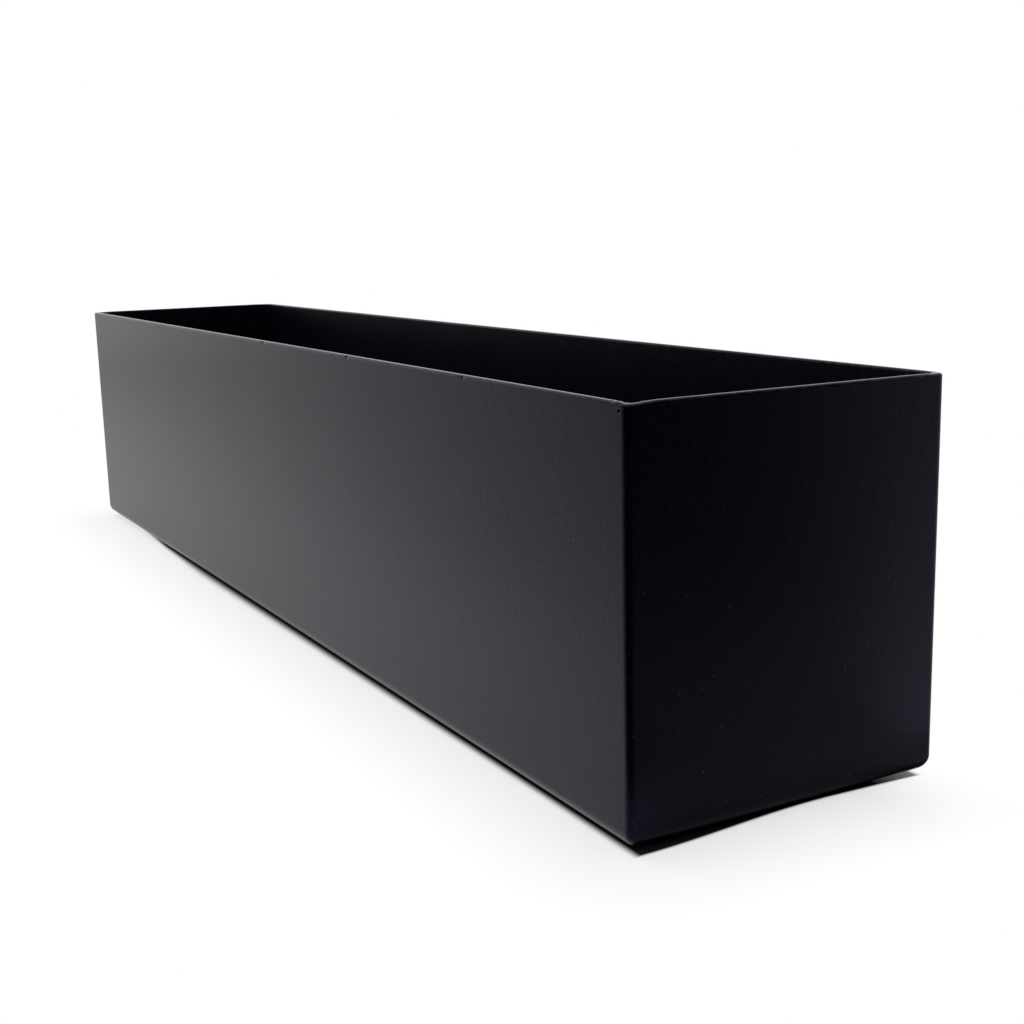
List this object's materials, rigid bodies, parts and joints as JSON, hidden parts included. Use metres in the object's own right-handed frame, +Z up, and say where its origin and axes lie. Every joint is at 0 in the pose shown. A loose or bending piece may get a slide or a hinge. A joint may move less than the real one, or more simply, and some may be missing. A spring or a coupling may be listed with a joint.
{
  "type": "trough planter",
  "caption": "Long open-topped rectangular planter of folded and welded steel with a matte black powder coat, low rubber feet and removable rubber drain plugs.",
  "frame": {"origin": "on the floor, under the middle of the trough", "axes": "+X along the trough to the end cap that faces the picture's camera, +Y across it to the rear wall, +Z up"},
  "size_m": [0.66, 0.127, 0.142],
  "materials": {
    "powder_coat": "matte powder coat",
    "pad_rubber": "matte",
    "plug_rubber": "satin"
  },
  "bodies": {
    "trough": {"trough_channel": "powder_coat", "left_end_cap": "powder_coat", "right_end_cap": "powder_coat", "corner_weld_front_left": "powder_coat", "corner_weld_front_right": "powder_coat", "corner_weld_rear_left": "powder_coat", "corner_weld_rear_right": "powder_coat", "base_weld_left": "powder_coat", "base_weld_right": "powder_coat", "foot_pad_front_left": "pad_rubber", "foot_pad_front_right": "pad_rubber", "foot_pad_rear_left": "pad_rubber", "foot_pad_rear_right": "pad_rubber"},
    "drain_plug_left": {"drain_plug_left": "plug_rubber"},
    "drain_plug_middle": {"drain_plug_middle": "plug_rubber"},
    "drain_plug_right": {"drain_plug_right": "plug_rubber"}
  },
  "joints": [
    {"name": "drain_plug_left_pull", "type": "slide", "parent": "trough", "child": "drain_plug_left", "axis": [0, 0, 1], "range_m": [0, 0.04]},
    {"name": "drain_plug_middle_pull", "type": "slide", "parent": "trough", "child": "drain_plug_middle", "axis": [0, 0, 1], "range_m": [0, 0.04]},
    {"name": "drain_plug_right_pull", "type": "slide", "parent": "trough", "child": "drain_plug_right", "axis": [0, 0, 1], "range_m": [0, 0.04]}
  ]
}
